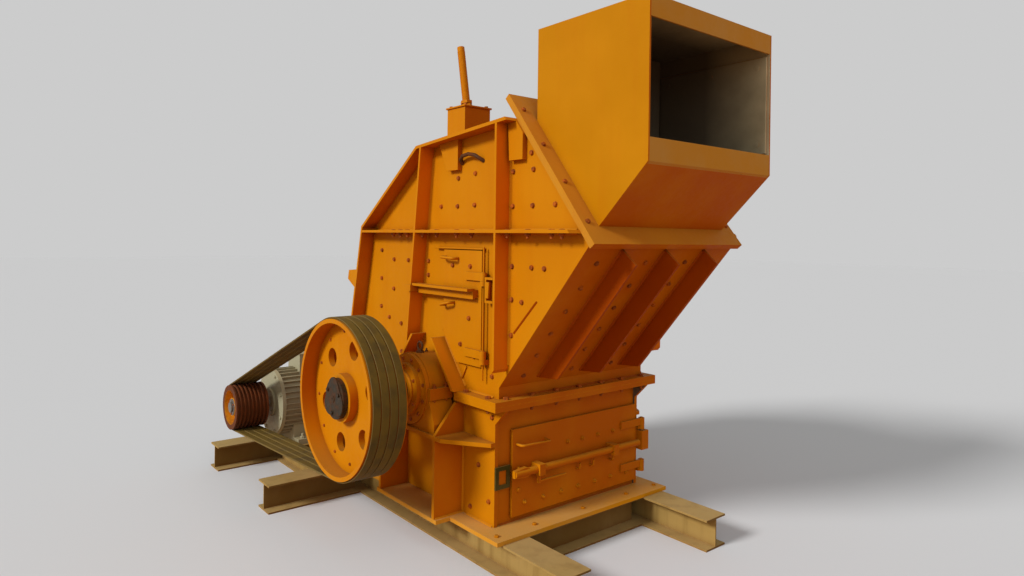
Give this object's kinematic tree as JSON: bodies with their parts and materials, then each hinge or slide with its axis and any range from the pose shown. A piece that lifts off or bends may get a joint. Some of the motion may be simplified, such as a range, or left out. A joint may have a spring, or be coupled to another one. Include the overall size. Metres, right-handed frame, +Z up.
{
  "type": "impact crusher",
  "caption": "Horizontal-shaft impact crusher with a raised feed hopper, ribbed steel casing, belt drive and motor on a beam skid, with inspection doors.",
  "frame": {"origin": "on the floor, under the middle of the machine's overall box", "axes": "+X towards the feed mouth, +Y away from the belt drive along the rotor shaft, +Z up"},
  "size_m": [4.013, 2.33, 3.3442],
  "materials": {
    "orange_paint": "satin enamel",
    "skid_paint": "faded enamel",
    "wear_steel": "as cast",
    "shaft_steel": "turned",
    "motor_grey": "satin",
    "belt_rubber": "matt",
    "rusty_iron": "rusted"
  },
  "bodies": {
    "root": {"base_plate": "orange_paint", "lower_side_near": "orange_paint", "lower_side_far": "orange_paint", "lower_front_wall": "orange_paint", "lower_back_wall": "orange_paint", "lower_split_flange": "orange_paint", "upper_split_flange": "orange_paint", "bearing_seat_near": "orange_paint", "bearing_seat_far": "orange_paint", "upper_side_near": "orange_paint", "upper_side_far": "orange_paint", "sloping_front_plate": "orange_paint", "roof_plate": "orange_paint", "back_slope_plate": "orange_paint", "back_wall_plate": "orange_paint", "upright_ribs_near": "orange_paint", "upright_ribs_far": "orange_paint", "level_ribs_near": "orange_paint", "level_ribs_far": "orange_paint", "slope_ribs": "orange_paint", "casing_feed_flange": "orange_paint", "hopper_flange": "orange_paint", "hopper_side_near": "orange_paint", "hopper_side_far": "orange_paint", "hopper_back_plate": "orange_paint", "hopper_floor": "orange_paint", "hopper_top_plate": "orange_paint", "mouth_lips": "orange_paint", "spring_boxes": "orange_paint", "apron_rods": "orange_paint", "bearing_near": "orange_paint", "bearing_far": "orange_paint", "hinge_lugs": "orange_paint", "apron_lugs": "orange_paint", "long_beam_near": "skid_paint", "long_beam_far": "skid_paint", "cross_beams": "skid_paint", "front_apron": "wear_steel", "rear_apron": "wear_steel", "apron_shafts": "shaft_steel", "motor_rails": "skid_paint", "motor_frame": "motor_grey", "drive_belts": "belt_rubber"},
    "rotor": {"rotor_shaft": "shaft_steel", "rotor_drum": "wear_steel", "crusher_pulley": "orange_paint"},
    "motor_rotor": {"motor_shaft": "shaft_steel", "motor_pulley": "rusty_iron"},
    "side_door": {"side_door": "orange_paint", "side_door_bar": "orange_paint"},
    "front_door": {"front_door": "orange_paint", "front_door_bar": "orange_paint"}
  },
  "joints": [
    {"name": "rotor_spin", "type": "hinge", "parent": "root", "child": "rotor", "pos_m": [0.2535, 0.275, 0.98], "axis": [0, 1, 0], "continuous": true},
    {"name": "motor_spin", "type": "hinge", "parent": "root", "child": "motor_rotor", "pos_m": [-1.6465, -0.995, 0.56], "axis": [0, 1, 0], "continuous": true},
    {"name": "side_door_swing", "type": "hinge", "parent": "root", "child": "side_door", "pos_m": [0.8385, -0.408, 1.5], "axis": [0, 0, 1], "range_deg": [0, 105]},
    {"name": "front_door_swing", "type": "hinge", "parent": "root", "child": "front_door", "pos_m": [0.9485, 0.957, 0.53], "axis": [0, 0, 1], "range_deg": [0, 110]}
  ],
  "couplings": [
    {"joint": "motor_spin", "follows": "rotor_spin", "ratio": 2.7222}
  ]
}
